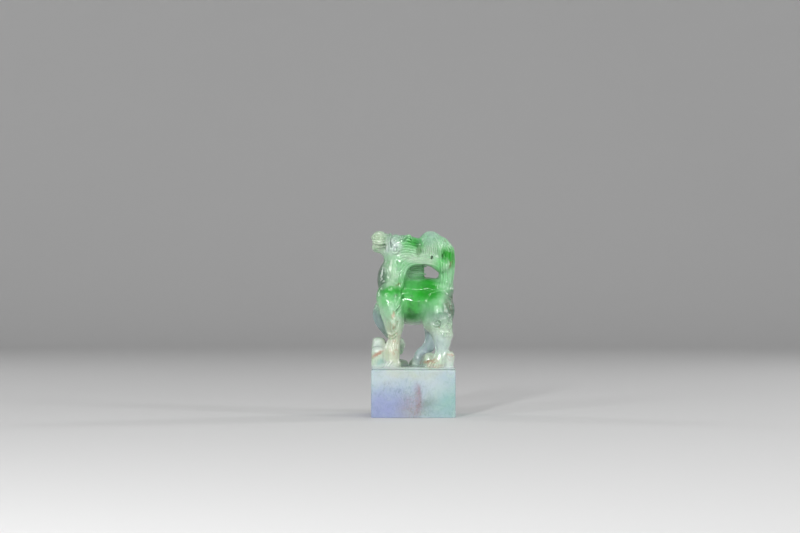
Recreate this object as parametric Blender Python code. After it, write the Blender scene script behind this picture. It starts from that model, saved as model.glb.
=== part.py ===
"""A carved jade seal: a square block with a standing mythical beast as its knob, cut from one stone.

The block stands on the seal face, and the origin is the centre of that face. The beast looks along -X,
its near side faces -Y, and +Z is up. The figure is laid out on the carver's grid: 26 parts across the bar
and 43 parts from the groove to the crown, which scale with the bar's side and with the figure's height.
"""

import math

import bmesh
import bpy
from mathutils import Euler, Matrix, Vector

MM = 0.001

# Driving dimensions
BAR_SIDE = 26.0 * MM  # the square bar that block and figure are cut from
BLOCK_HEIGHT = 14.8 * MM  # seal face to the line of the groove
FIGURE_HEIGHT = 43.0 * MM  # line of the groove to the crown of the tail
GROUND_THICKNESS = 0.6 * MM  # the thin layer above the groove that the beast stands on
GROOVE_DEPTH = 0.45 * MM  # the line cut round the bar between block and ground
GROOVE_WIDTH = 0.6 * MM
EDGE_ROUND = 0.25 * MM  # the polished edges round the seal face
CORNER_ROUND = 0.6 * MM  # the four upright edges of the bar

# The carver's grid
PARTS_ACROSS = 26.0
PARTS_HIGH = 43.0
FIGURE_SPREAD = 1.2  # the figure is drawn narrow and spread to fill the bar from near side to far side

# How finely the stone is worked, in parts of the grid
GRAIN = 0.3
POLISH_STROKES = 4
FACES_KEPT = 9300

# How jade of this kind looks
JADE_COLOUR = (0.45, 0.62, 0.44, 1.0)
JADE_ROUGHNESS = 0.2
JADE_IOR = 1.66

NEAR = -1.0
FAR = 1.0


class Carving:
    """Closed forms on the carver's grid, gathered in one mesh before they are worked into one skin."""

    def __init__(self):
        self.mesh = bmesh.new()

    def ball(self, centre, radii, turn=(0.0, 0.0, 0.0), facets=3):
        """An egg of stone with these half-sizes, turned by degrees about X, Y and Z."""
        angles = Euler([math.radians(a) for a in turn])
        place = Matrix.LocRotScale(Vector(centre), angles, Vector(radii))
        bmesh.ops.create_icosphere(self.mesh, subdivisions=facets, radius=1.0, matrix=place)

    def slab(self, centre, size, turn=(0.0, 0.0, 0.0), bevel=0.5):
        """A block of stone with its edges rounded off, turned by degrees about X, Y and Z."""
        angles = Euler([math.radians(a) for a in turn])
        made = bmesh.new()
        bmesh.ops.create_cube(made, size=1.0, matrix=Matrix.Diagonal((*size, 1.0)))
        bmesh.ops.bevel(made, geom=made.edges[:], offset=bevel, segments=2, profile=0.5, affect="EDGES")
        bmesh.ops.transform(made, matrix=Matrix.LocRotScale(Vector(centre), angles, None), verts=made.verts)
        data = bpy.data.meshes.new("slab")
        made.to_mesh(data)
        made.free()
        self.mesh.from_mesh(data)
        bpy.data.meshes.remove(data)

    def limb(self, stations, flat=1.0):
        """A limb through stations (x, y, z, radius), round at both ends, its Y width scaled by flat."""
        middle = sum(s[1] for s in stations) / len(stations)
        curve = bpy.data.curves.new("limb", "CURVE")
        curve.dimensions = "3D"
        curve.bevel_depth = 1.0
        curve.bevel_resolution = 4
        curve.use_fill_caps = True
        curve.resolution_u = 8
        spline = curve.splines.new("BEZIER")
        spline.radius_interpolation = "CARDINAL"
        spline.bezier_points.add(len(stations) - 1)
        for point, (x, y, z, radius) in zip(spline.bezier_points, stations):
            point.co = (x, middle + (y - middle) / flat, z)
            point.radius = radius
            point.handle_left_type = point.handle_right_type = "AUTO"
        guide = bpy.data.objects.new("limb", curve)
        skin = guide.to_mesh()
        across = Matrix.Translation((0, middle, 0)) @ Matrix.Diagonal((1, flat, 1, 1))
        skin.transform(across @ Matrix.Translation((0, -middle, 0)))
        self.mesh.from_mesh(skin)
        guide.to_mesh_clear()
        bpy.data.objects.remove(guide)
        bpy.data.curves.remove(curve)
        for x, y, z, radius in (stations[0], stations[-1]):
            self.ball((x, y, z), (radius, radius * flat, radius), facets=2)

    def to_object(self, name):
        data = bpy.data.meshes.new(name)
        self.mesh.to_mesh(data)
        self.mesh.free()
        made = bpy.data.objects.new(name, data)
        bpy.context.scene.collection.objects.link(made)
        return made


def carve_trunk(stone):
    """Chest, barrel, back and rump."""
    stone.limb([(-4.6, 0, 21.8, 7.0), (0.2, 0, 21.0, 7.6), (5.0, 0, 21.4, 7.2)], flat=0.95)
    stone.limb([(-3.0, 0, 25.4, 3.2), (3.0, 0, 25.3, 3.2), (9.4, 0, 24.6, 3.6)], flat=1.5)
    stone.limb(
        [(-6.1, 0, 26.6, 5.3), (-5.8, 0, 29.6, 5.1), (-4.6, 0, 32.4, 4.4), (-4.0, 0, 34.8, 4.6)], flat=1.15
    )


def carve_head(stone):
    """A blunt head held high, with a wrinkled muzzle and the jaws a little apart."""
    stone.ball((-4.1, 0, 37.6), (4.5, 5.2, 4.2))
    stone.slab((-4.3, 0, 39.9), (5.8, 7.2, 3.2), turn=(0, -1, 0), bevel=1.2)
    for y in (-2.5, 0.0, 2.5):
        stone.limb(
            [(-6.4, 0.7 * y, 40.7, 0.6), (-4.4, 0.9 * y, 40.85, 0.9), (-1.4, 1.1 * y, 40.7, 0.9),
             (1.6, 1.0 * y, 40.0, 0.6)]
        )
    stone.slab((-10.45, 0, 40.75), (5.0, 6.8, 4.6), turn=(0, 4, 0), bevel=1.9)
    stone.limb([(-9.6, 0, 39.7, 2.2), (-5.0, 0, 38.6, 3.2)], flat=1.25)
    stone.limb([(-11.7, 0, 37.4, 1.2), (-9.6, 0, 37.1, 1.5), (-6.8, 0, 36.0, 2.6)], flat=1.9)
    stone.ball((-5.7, 0, 34.9), (3.7, 4.6, 3.6))
    for side in (NEAR, FAR):
        carve_face_side(stone, side)
    stone.limb(
        [(-7.9, -4.0, 36.6, 0.5), (-7.6, -4.1, 39.6, 0.6), (-7.2, -2.4, 41.6, 0.6), (-7.2, 0, 42.0, 0.6),
         (-7.2, 2.4, 41.6, 0.6), (-7.6, 4.1, 39.6, 0.6), (-7.9, 4.0, 36.6, 0.5)]
    )


def carve_face_side(stone, side):
    """Nostril, lip, eye, brow, cheek curl, ear and the bell of the beard on one side of the head."""
    stone.ball((-12.2, side * 1.7, 41.2), (0.8, 1.0, 0.9), facets=2)
    stone.limb(
        [(-12.4, side * 2.6, 39.1, 0.5), (-10.6, side * 3.5, 39.0, 0.6), (-8.8, side * 3.7, 39.3, 0.5)]
    )
    stone.ball((-12.2, side * 2.0, 37.6), (0.8, 0.9, 0.8), facets=2)
    stone.ball((-5.7, side * 4.5, 39.8), (1.0, 0.8, 0.95), facets=2)
    stone.limb(
        [(-7.0, side * 3.6, 40.6, 0.5), (-5.6, side * 4.2, 41.1, 0.75), (-3.9, side * 4.4, 40.8, 0.6)]
    )
    stone.ball((-5.4, side * 4.9, 37.2), (1.7, 0.9, 1.4), facets=2)
    stone.ball((-2.0, side * 4.3, 40.6), (1.9, 0.9, 1.2), turn=(0, -38, 0), facets=2)
    stone.limb(
        [(-5.9, side * 4.2, 33.4, 1.2), (-5.6, side * 5.3, 30.6, 1.6), (-5.8, side * 5.4, 28.4, 1.5)], flat=0.8
    )


def carve_mane(stone):
    """The mane sweeps back from the nape, over the pierced gap above the back, to the tail."""
    stone.limb([(-2.5, 0, 37.7, 4.0), (1.6, 0, 37.3, 3.6), (5.5, 0, 37.4, 3.4)], flat=1.2)
    stone.slab((0.3, 1.8, 31.0), (6.4, 5.6, 6.6), bevel=1.3)
    for side in (NEAR, FAR):
        stone.limb(
            [(-3.8, side * 5.9, 25.4, 1.1), (-3.6, side * 5.7, 29.4, 1.4), (-1.8, side * 5.3, 32.7, 1.6),
             (2.2, side * 4.9, 33.7, 1.5), (6.0, side * 4.3, 33.4, 1.7), (9.2, side * 3.0, 32.0, 2.4)]
        )
        for k in range(4):
            stone.limb(
                [(-2.6, side * 4.5, 35.4 + 1.4 * k, 0.5),
                 (0.2, side * (4.9 - 0.4 * k), 35.8 + 1.2 * k, 0.75),
                 (2.5, side * (4.4 - 0.4 * k), 35.4 + 1.25 * k, 0.4)]
            )


def carve_tail(stone):
    """The tail climbs from the rump and curls over, its tuft hanging down on the mane."""
    column = [(9.0, 22.0, 3.2), (9.9, 26.5, 2.3), (10.3, 31.0, 2.4), (10.2, 35.0, 2.5), (9.5, 38.0, 2.6)]
    breadth = 1.3
    stone.limb([(x, 0, z, radius) for x, z, radius in column], flat=breadth)
    stone.ball((5.5, 0, 39.0), (3.9, 4.6, 4.1))
    stone.limb([(5.6, 0, 39.8, 3.0), (9.1, 0, 38.2, 2.9)], flat=1.2)
    for side in (NEAR, FAR):
        for k in range(4):
            carve_tail_lock(stone, column, breadth, side, math.radians(18 + 34 * k))
        for k in range(6):
            lean = k / 5 - 0.5
            stone.limb(
                [(5.6 + 1.6 * lean, side * 3.4, 41.3, 0.5), (5.4 + 4.6 * lean, side * 4.7, 38.4, 0.65),
                 (5.2 + 5.2 * lean, side * 4.6, 35.3, 0.5)]
            )
        stone.limb(
            [(8.6, side * 3.4, 40.4, 0.5), (9.2, side * 4.2, 37.4, 0.6), (8.3, side * 4.4, 34.8, 0.5)]
        )
        for k in range(4):
            stone.limb(
                [(11.2, side * (0.4 + 0.6 * k), 23.4, 0.4), (12.1 - 0.2 * k, side * (0.45 + k), 20.4, 0.65),
                 (11.9 - 0.3 * k, side * (0.4 + 1.3 * k), 17.2, 0.4)]
            )


def carve_tail_lock(stone, column, breadth, side, angle):
    """One lock of hair along the tail, at this angle round its column, fading into the curl."""
    along, across = math.cos(angle), math.sin(angle)
    lock = [
        (x + 0.94 * radius * along, side * 0.94 * breadth * radius * across, z, 0.75)
        for x, z, radius in column
    ]
    x, y, z, radius = lock[-1]
    lock.append((x - 1.7, 0.8 * y, z + 1.2, 0.4))
    stone.limb(lock)


def carve_paw(stone, x, y, toe=-1.0):
    """A broad paw whose toes point along X, to the left for toe -1."""
    stone.ball((x, y, 1.6), (2.8, 2.5, 1.7))
    for k in (-1.0, 0.0, 1.0):
        stone.ball((x + toe * (2.2 - 0.4 * abs(k)), y + k * 1.5, 1.2), (1.2, 0.85, 1.1), facets=2)


def carve_forelegs(stone):
    """The near foreleg stands straight, the far one is raised and bent."""
    for side in (NEAR, FAR):
        stone.ball((-7.3, side * 4.8, 22.0), (4.3, 4.2, 5.4))
    stone.limb(
        [(-7.2, -5.2, 21.0, 4.2), (-6.3, -6.0, 16.6, 3.7), (-5.8, -6.8, 12.6, 2.9), (-5.8, -7.0, 9.7, 2.0),
         (-6.5, -7.1, 6.5, 2.45), (-6.6, -7.2, 2.4, 2.4)]
    )
    carve_paw(stone, -6.4, -7.4)
    stone.limb(
        [(-8.0, 5.6, 20.5, 3.2), (-10.6, 6.6, 16.7, 2.4), (-10.0, 6.8, 14.4, 2.1), (-8.2, 6.9, 12.0, 2.0),
         (-6.4, 7.0, 9.6, 1.8), (-4.2, 7.0, 7.2, 1.9), (-4.2, 7.0, 5.0, 1.2)]
    )


def carve_hind_legs(stone):
    """The hind legs in step, the far one set forward, with a curl on each thigh."""
    for side in (NEAR, FAR):
        stone.ball((8.0, side * 4.6, 18.0), (5.0, 4.7, 6.2))
        stone.ball((6.5, side * 5.0, 15.2), (3.9, 3.9, 4.2))
    stone.limb(
        [(8.2, -6.0, 15.0, 4.2), (8.8, -6.8, 10.9, 3.4), (9.0, -7.0, 7.6, 2.6), (8.7, -7.1, 5.2, 2.1),
         (8.0, -7.2, 2.6, 2.3)]
    )
    stone.ball((10.5, -6.9, 10.6), (2.0, 1.9, 2.0))
    carve_paw(stone, 6.9, -7.4)
    stone.limb([(6.6, -9.6, 13.8, 0.5), (8.2, -9.9, 15.4, 0.7), (10.9, -8.9, 15.6, 0.5)])
    for k in range(3):
        stone.limb(
            [(8.2 + k, -9.6, 13.0 - 0.3 * k, 0.5), (8.6 + k, -9.4, 11.4, 0.5),
             (9.8 + 0.8 * k, -8.8, 10.2, 0.3)]
        )
    stone.limb(
        [(5.6, 5.8, 15.0, 3.1), (5.7, 6.8, 11.6, 2.1), (5.6, 7.0, 8.6, 2.0), (4.4, 7.0, 6.2, 1.7),
         (2.2, 7.1, 4.2, 1.6), (1.7, 7.1, 2.4, 1.7)]
    )
    carve_paw(stone, 1.9, 7.3)


def carve_ground(stone):
    """Rocks at both ends of the ground."""
    stone.slab((-10.8, -2.0, 4.9), (4.4, 8.6, 9.8), turn=(0, 2, 3), bevel=1.5)
    stone.slab((-10.9, -6.2, 3.4), (4.0, 5.0, 7.4), turn=(6, 3, -8), bevel=1.2)
    stone.slab((-10.5, 3.2, 3.8), (4.2, 5.4, 8.0), turn=(-10, 4, 16), bevel=1.2)
    stone.slab((-9.8, 7.6, 2.4), (4.6, 4.6, 5.4), turn=(8, -8, 24), bevel=1.1)
    stone.slab((11.3, 0.4, 2.6), (3.0, 7.0, 6.2), turn=(0, 3, -3), bevel=1.0)
    stone.slab((11.0, 5.4, 1.8), (3.4, 6.0, 4.8), turn=(-6, 4, 9), bevel=1.0)
    stone.slab((11.0, -7.4, 2.6), (3.0, 5.6, 6.0), turn=(3, 6, 6), bevel=1.1)
    stone.slab((-3.5, 5.0, 1.2), (3.2, 4.4, 2.8), turn=(4, 8, 25), bevel=0.8)
    stone.slab((5.4, 2.6, 2.0), (5.4, 8.0, 5.2), turn=(-6, 10, 12), bevel=1.4)


def worked_figure():
    """The figure as one worked skin, standing on the bar, as a guide for the union."""
    stone = Carving()
    carve_trunk(stone)
    carve_head(stone)
    carve_mane(stone)
    carve_tail(stone)
    carve_forelegs(stone)
    carve_hind_legs(stone)
    carve_ground(stone)
    figure = stone.to_object("figure_guide")
    worked = figure.modifiers.new("one skin", "REMESH")
    worked.mode = "VOXEL"
    worked.voxel_size = GRAIN
    polish = figure.modifiers.new("polish", "SMOOTH")
    polish.factor = 0.5
    polish.iterations = POLISH_STROKES
    part = BAR_SIDE / PARTS_ACROSS
    figure.scale = (part, part * FIGURE_SPREAD, FIGURE_HEIGHT / PARTS_HIGH)
    figure.location.z = BLOCK_HEIGHT
    figure.hide_render = True
    figure.display_type = "WIRE"
    return figure


def bar_ring(mesh, inset, z, segments=4):
    """One level outline of the bar: a square with rounded corners, drawn in by inset."""
    radius = CORNER_ROUND - 0.8 * inset
    centre = BAR_SIDE / 2 - inset - radius
    ring = []
    for corner in range(4):
        turn = corner * math.pi / 2
        for k in range(segments + 1):
            angle = k / segments * math.pi / 2
            x = centre + radius * math.cos(angle)
            y = centre + radius * math.sin(angle)
            ring.append(
                mesh.verts.new(
                    (x * math.cos(turn) - y * math.sin(turn), x * math.sin(turn) + y * math.cos(turn), z)
                )
            )
    return ring


def seal_block():
    """The square block with the groove and the ground layer above it."""
    ground_top = BLOCK_HEIGHT + GROUND_THICKNESS
    soft = 0.29 * EDGE_ROUND
    levels = [
        (EDGE_ROUND, 0.0), (soft, soft), (0.0, EDGE_ROUND), (0.0, BLOCK_HEIGHT - GROOVE_WIDTH / 2),
        (GROOVE_DEPTH, BLOCK_HEIGHT), (0.0, BLOCK_HEIGHT + GROOVE_WIDTH / 2), (soft, ground_top - soft),
        (EDGE_ROUND, ground_top),
    ]
    mesh = bmesh.new()
    rings = [bar_ring(mesh, inset, z) for inset, z in levels]
    for lower, upper in zip(rings, rings[1:]):
        for k in range(len(lower)):
            after = (k + 1) % len(lower)
            mesh.faces.new((lower[k], lower[after], upper[after], upper[k]))
    mesh.faces.new(reversed(rings[0]))
    mesh.faces.new(rings[-1])
    data = bpy.data.meshes.new("seal")
    mesh.to_mesh(data)
    mesh.free()
    made = bpy.data.objects.new("seal", data)
    bpy.context.scene.collection.objects.link(made)
    return made


def jade():
    """Pale green jade with a polished surface."""
    material = bpy.data.materials.new("jade")
    material.use_nodes = True
    shader = material.node_tree.nodes["Principled BSDF"]
    shader.inputs["Base Color"].default_value = JADE_COLOUR
    shader.inputs["Roughness"].default_value = JADE_ROUGHNESS
    shader.inputs["IOR"].default_value = JADE_IOR
    return material


def faces_share(figure):
    """The share of the worked skin's triangles to keep."""
    depsgraph = bpy.context.evaluated_depsgraph_get()
    worked = figure.evaluated_get(depsgraph)
    skin = worked.to_mesh()
    triangles = sum(len(face.vertices) - 2 for face in skin.polygons)
    worked.to_mesh_clear()
    return min(1.0, FACES_KEPT / triangles)


def main():
    for old in list(bpy.data.objects):
        bpy.data.objects.remove(old, do_unlink=True)
    figure = worked_figure()
    thinned = figure.modifiers.new("faces kept", "DECIMATE")
    thinned.ratio = faces_share(figure)
    seal = seal_block()
    seal.data.materials.append(jade())
    union = seal.modifiers.new("one stone", "BOOLEAN")
    union.operation = "UNION"
    union.solver = "EXACT"
    union.object = figure


main()
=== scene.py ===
"""Looks of the carved jade seal: fine carving, polished many-coloured jade, a pale studio and the camera.

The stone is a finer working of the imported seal. Carved details are laid out on the carver's grid, which has
its zero in the middle of the groove above the block: 26 parts across the bar, and 43 parts from the groove up
to the crown. Radii, widths and depths are in parts too. The beast looks along -X and its near side faces -Y.
"""

import math

import bpy
import numpy as np
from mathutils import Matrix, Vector


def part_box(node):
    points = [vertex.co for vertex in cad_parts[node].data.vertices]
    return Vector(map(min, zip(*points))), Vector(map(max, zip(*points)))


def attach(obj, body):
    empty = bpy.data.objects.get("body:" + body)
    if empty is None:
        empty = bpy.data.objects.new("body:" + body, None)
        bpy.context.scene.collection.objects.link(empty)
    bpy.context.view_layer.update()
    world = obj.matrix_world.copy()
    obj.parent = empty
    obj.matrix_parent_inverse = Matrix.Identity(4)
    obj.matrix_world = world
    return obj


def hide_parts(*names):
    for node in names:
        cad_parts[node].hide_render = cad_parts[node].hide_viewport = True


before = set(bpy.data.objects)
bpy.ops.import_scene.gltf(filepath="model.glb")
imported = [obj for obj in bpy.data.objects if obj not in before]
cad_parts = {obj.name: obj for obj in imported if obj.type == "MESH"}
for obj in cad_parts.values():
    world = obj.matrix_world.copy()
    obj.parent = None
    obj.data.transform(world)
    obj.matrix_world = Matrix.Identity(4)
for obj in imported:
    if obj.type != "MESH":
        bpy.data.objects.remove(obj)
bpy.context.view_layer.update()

# Sizes taken from the frame
LOW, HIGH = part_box("seal")
BAR_SIDE = HIGH.y - LOW.y
PARTS_ACROSS = 26.0
PARTS_HIGH = 43.0
PART = BAR_SIDE / PARTS_ACROSS
BLOCK_SHARE = 14.8 / 57.8  # the block's share of the whole height
GROUND = LOW.z + BLOCK_SHARE * (HIGH.z - LOW.z)
PART_HIGH = (HIGH.z - GROUND) / PARTS_HIGH
SPREAD = 1.2  # the figure's spread from near side to far side on the grid

# The block, in parts
BLOCK_HEIGHT = (GROUND - LOW.z) / PART
GROUND_THICKNESS = 0.6
GROOVE_DEPTH = 0.45
GROOVE_WIDTH = 0.6
EDGE_ROUND = 0.25
CORNER_ROUND = 0.6
ROUND_MIDDLE = 0.29  # how far in from both faces the middle of a round edge lies, as a share of its radius

# The fineness of the carving
ROUGH_GRAIN = 0.24 * PART
FINE_GRAIN = 0.17 * PART
HAIR = 0.17  # the width of a hair line
BITE = 1.35  # how hard the graver is pressed
TRIANGLES_KEPT = 185000

# The camera: a long lens, level with the seal's middle
CAMERA_DISTANCE = 0.6
CAMERA_HEIGHT = 0.036
CAMERA_AIM = Vector((-0.0041, 0.0, 0.0467))
CAMERA_LENS = 86.0

NEAR, FAR = -1.0, 1.0

# The drilled pit in the tuft
PIT = (5.85, 34.7)  # at x and z
PIT_MIDDLE = -5.2  # at y
PIT_RADIUS = 0.36
PIT_DEPTH = 6.0


def grid(x, y, z):
    """A place on the carver's grid, in metres."""
    return Vector((x * PART, y * SPREAD * PART, GROUND + z * PART_HIGH))


def nothing_selected():
    if bpy.context.mode != "OBJECT":
        bpy.ops.object.mode_set(mode="OBJECT")
    bpy.ops.object.select_all(action="DESELECT")


def take_up(piece):
    """Makes the piece the only selected and active object."""
    nothing_selected()
    piece.select_set(True)
    bpy.context.view_layer.objects.active = piece


def finish_with(piece, kind, **values):
    """Adds a modifier with these values and applies it."""
    take_up(piece)
    modifier = piece.modifiers.new(kind.title(), kind)
    for name, value in values.items():
        setattr(modifier, name, value)
    bpy.ops.object.modifier_apply(modifier=modifier.name)


def fuse(pieces):
    """Joins the pieces into the first of them."""
    nothing_selected()
    for piece in pieces:
        piece.select_set(True)
    bpy.context.view_layer.objects.active = pieces[0]
    bpy.ops.object.join()
    return pieces[0]


def triangles_in(piece):
    return sum(len(face.vertices) - 2 for face in piece.data.polygons)


# Pieces of carving, added as solids


def bead(centre, radii, turn=(0.0, 0.0, 0.0)):
    """An egg of stone on the grid, its half-sizes in parts, turned by degrees."""
    bpy.ops.mesh.primitive_ico_sphere_add(
        subdivisions=3,
        radius=PART,
        location=grid(*centre),
        rotation=[math.radians(angle) for angle in turn],
        scale=radii,
    )
    return bpy.context.object


def strand(stations):
    """A lock of stone through stations (x, y, z, radius) on the grid, tapered to its ends."""
    nothing_selected()
    bpy.ops.curve.primitive_bezier_curve_add()
    lock = bpy.context.object
    lock.location = (0, 0, 0)
    curve = lock.data
    curve.dimensions = "3D"
    curve.bevel_depth = PART
    curve.bevel_resolution = 3
    curve.use_fill_caps = True
    curve.resolution_u = 8
    spline = curve.splines[0]
    spline.radius_interpolation = "CARDINAL"
    spline.bezier_points.add(len(stations) - 2)
    for point, (x, y, z, radius) in zip(spline.bezier_points, stations):
        point.co = grid(x, y, z)
        point.radius = radius
        point.handle_left_type = point.handle_right_type = "AUTO"
    take_up(lock)
    bpy.ops.object.convert(target="MESH")
    return lock


def ring(centre, radii, thickness, links=12):
    """A raised ring on a side face, drawn in the X-Z plane."""
    x, y, z = centre
    stations = []
    for k in range(links + 1):
        turn = 2 * math.pi * k / links
        stations.append((x + radii[0] * math.cos(turn), y, z + radii[1] * math.sin(turn), thickness))
    return strand(stations)


def face_details(side):
    """Nostril, eye with its ring, brow tufts and lips on one side of the head."""
    made = [
        bead((-12.5, side * 1.5, 40.3), (0.7, 0.9, 0.6)),
        bead((-5.65, side * 4.6, 39.75), (0.85, 0.8, 0.85)),
        ring((-5.65, side * 4.8, 39.75), (1.15, 1.1), 0.24),
    ]
    for k in range(3):
        made.append(
            strand(
                [(-7.0 + 0.3 * k, side * (3.6 + 0.2 * k), 41.0 - 0.25 * k, 0.2),
                 (-5.4 + 0.2 * k, side * 4.35, 41.5 - 0.35 * k, 0.34),
                 (-3.4 + 0.2 * k, side * 4.6, 40.8 - 0.5 * k, 0.12)]
            )
        )
    made.append(
        strand(
            [(-12.7, side * 1.3, 38.95, 0.26), (-11.6, side * 2.95, 38.8, 0.3),
             (-9.6, side * 3.65, 38.9, 0.28), (-8.4, side * 3.9, 39.3, 0.16)]
        )
    )
    made.append(
        strand(
            [(-12.6, side * 1.1, 37.75, 0.26), (-11.4, side * 2.5, 37.7, 0.3),
             (-9.6, side * 3.2, 37.9, 0.26), (-8.5, side * 3.7, 38.3, 0.16)]
        )
    )
    return made


def band_locks(side):
    """Two locks along the band of mane on one side."""
    return [
        strand(
            [(-4.6 + 0.9 * k, side * 6.6, 26.2, 0.15), (-4.3 + 0.9 * k, side * 6.9, 29.2, 0.3),
             (-2.5 + 0.8 * k, side * 6.6, 33.1 - 0.8 * k, 0.34), (1.6, side * 6.2, 34.6 - 0.9 * k, 0.32),
             (6.0, side * 5.7, 34.2 - 0.9 * k, 0.3), (8.6, side * 5.0, 33.2 - 0.8 * k, 0.12)]
        )
        for k in range(2)
    ]


def recess_locks():
    """Locks of the far side's hair, seen through the pierced gap and ending at its edge."""
    return [
        strand(
            [(-2.6, -1.0, z - 0.5, 0.3), (-0.4, -1.1, z, 0.45), (2.0, -0.9, z + 0.2, 0.5),
             (end, -0.6, z + 0.1, 0.2)]
        )
        for z, end in ((29.3, 4.2), (30.5, 3.7), (31.7, 4.4))
    ]


# Fine lines, cut and raised by moving the skin


def flowing(points, steps=8):
    """A smooth path through these points, as an array of small steps."""
    stops = np.array([points[0], *points, points[-1]], float)
    t = np.linspace(0, 1, steps, endpoint=False)[:, None]
    runs = []
    for a, b, c, d in zip(stops, stops[1:], stops[2:], stops[3:]):
        bend = (2 * a - 5 * b + 4 * c - d) * t**2 + (3 * b - a - 3 * c + d) * t**3
        runs.append(0.5 * (2 * b + (c - a) * t + bend))
    return np.vstack([*runs, stops[-1:]])


def spiral(centre, start_radius, end_radius, turns, start_turn=0.0, count=14):
    """Points of a spiral, winding in round centre."""
    made = []
    for k in range(count):
        share = k / (count - 1)
        radius = start_radius + (end_radius - start_radius) * share
        turn = math.radians(start_turn) + 2 * math.pi * turns * share
        made.append((centre[0] + radius * math.cos(turn), centre[1] + radius * math.sin(turn)))
    return made


class Graver:
    """Works fine lines into the skin of a stone. Lines are drawn on the grid as seen from one side."""

    # The axes that a line is drawn in and the axis that it is cut into, by where it is seen from
    ALONG = {"side": (0, 2), "top": (0, 1), "end": (1, 2)}
    INTO = {"side": 1, "top": 2, "end": 0}
    # How much the skin has to face the graver for a line to start on it, and to be cut in full
    TURNED_LEAST = 0.1
    TURNED_MORE = 0.35
    FADE = 5  # one part in this many of a line, at each end, is where it fades

    def __init__(self, stone):
        self.mesh = stone.data
        count = len(self.mesh.vertices)
        self.places = np.empty(count * 3)
        self.mesh.vertices.foreach_get("co", self.places)
        self.places = self.places.reshape(-1, 3)
        self.outward = np.empty(count * 3)
        self.mesh.vertex_normals.foreach_get("vector", self.outward)
        self.outward = self.outward.reshape(-1, 3)
        scale = np.array([PART, PART * SPREAD, PART_HIGH])
        self.at = (self.places - np.array([0, 0, GROUND])) / scale
        self.cuts = np.zeros(count)
        self.rises = np.zeros(count)

    def line(self, points, width, depth, seen="side", facing=NEAR, within=None, blunt=False):
        """One line through points, on skin that faces NEAR or FAR along the axis it is cut into.

        A negative depth raises the line. Within holds it to a stretch of that axis. It fades to its ends
        unless blunt.
        """
        u, v = self.ALONG[seen]
        into = self.INTO[seen]
        path = flowing(points)
        reach = 3 * width
        mask = facing * self.outward[:, into] > self.TURNED_LEAST
        for axis, column in ((u, 0), (v, 1)):
            mask &= self.at[:, axis] > path[:, column].min() - reach
            mask &= self.at[:, axis] < path[:, column].max() + reach
        if within is not None:
            mask &= (self.at[:, into] > within[0]) & (self.at[:, into] < within[1])
        chosen = np.nonzero(mask)[0]
        if not len(chosen):
            return
        spots = self.at[chosen][:, (u, v)]
        starts, steps = path[:-1], np.diff(path, axis=0)
        lengths = np.maximum((steps**2).sum(1), 1e-9)
        away = spots[:, None, :] - starts[None]
        along = np.clip((away * steps[None]).sum(2) / lengths, 0, 1)
        distance = np.linalg.norm(away - along[..., None] * steps[None], axis=2)
        nearest = distance.argmin(1)
        rows = np.arange(len(chosen))
        gap = distance[rows, nearest]
        share = (nearest + along[rows, nearest]) / len(steps)
        fade = np.ones(len(chosen)) if blunt else np.clip(np.minimum(share, 1 - share) * self.FADE, 0, 1)
        turned = np.clip((facing * self.outward[chosen, into] - self.TURNED_LEAST) / self.TURNED_MORE, 0, 1)
        work = np.exp(-((gap / width) ** 2)) * fade * turned * abs(depth)
        target = self.cuts if depth > 0 else self.rises
        target[chosen] = np.maximum(target[chosen], work)

    def curl(self, centre, size, turns, start, ridge, cut, facing=NEAR):
        """A spiral ridge with a cut between its turns; ridge and cut are (width, depth)."""
        self.line(spiral(centre, size, 0.2, turns, start), ridge[0], -ridge[1], facing=facing)
        self.line(spiral(centre, size, 0.2, turns, start + 180), *cut, facing=facing)

    def finish(self):
        """Moves the skin in along the cuts and out along the ridges."""
        moved = self.places + self.outward * ((self.rises - self.cuts) * BITE * PART)[:, None]
        self.mesh.vertices.foreach_set("co", moved.ravel())
        self.mesh.update()


def engrave_head(graver, side):
    """Wrinkles of the muzzle, the rings behind it, pupil, cheek curl, ear, flowing mane and chest."""
    for k in range(6):
        wrinkle = [(-13.2, 39.5 + 0.62 * k), (-11.0, 39.6 + 0.58 * k), (-8.7, 39.9 + 0.44 * k)]
        graver.line(wrinkle, HAIR, 0.2, facing=side)
    for k in range(3):
        wrinkle = [(-12.9, 37.6 - 0.35 * k), (-11.0, 37.3 - 0.35 * k), (-8.8, 37.2 - 0.5 * k)]
        graver.line(wrinkle, HAIR, 0.14, facing=side)
    for k in range(5):
        x = -8.95 + 0.52 * k
        depth = -0.3 if k % 2 else 0.3
        ring_band = [(x, 35.8), (x + 0.25, 37.4), (x - 0.1, 39.2), (x + 0.3, 41.0), (x, 42.8)]
        graver.line(ring_band, HAIR, depth, facing=side)
    graver.line([(-5.85, 39.75), (-5.55, 39.85)], 0.26, 0.45, facing=side, blunt=True)
    graver.curl((-5.5, 37.1), 1.5, 1.7, start=90, ridge=(0.2, 0.36), cut=(0.16, 0.3), facing=side)
    graver.line([(-3.3, 39.2), (-2.4, 40.3), (-1.5, 41.2)], 0.26, 0.5, facing=side)
    graver.line([(1.8, 38.5), (1.75, 36.8), (1.9, 35.2)], 0.55, 0.5, facing=side)
    for k in range(9):
        z = 34.3 + 0.82 * k
        graver.line(
            [(-4.2, z - 0.3), (-2.2, z + 0.25), (0.2, z - 0.05), (2.5, z + 0.05 - 0.12 * k)],
            HAIR, 0.28, facing=side,
        )
    graver.line([(-7.6, 33.8), (-7.9, 30.6), (-7.0, 27.2)], 0.2, 0.26, facing=side)
    for k in range(2):
        chest = [(-5.6 + 0.8 * k, 33.4), (-5.8 + 0.7 * k, 30.8), (-5.6 + 0.4 * k, 28.0)]
        graver.line(chest, HAIR, 0.14, facing=side)


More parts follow.
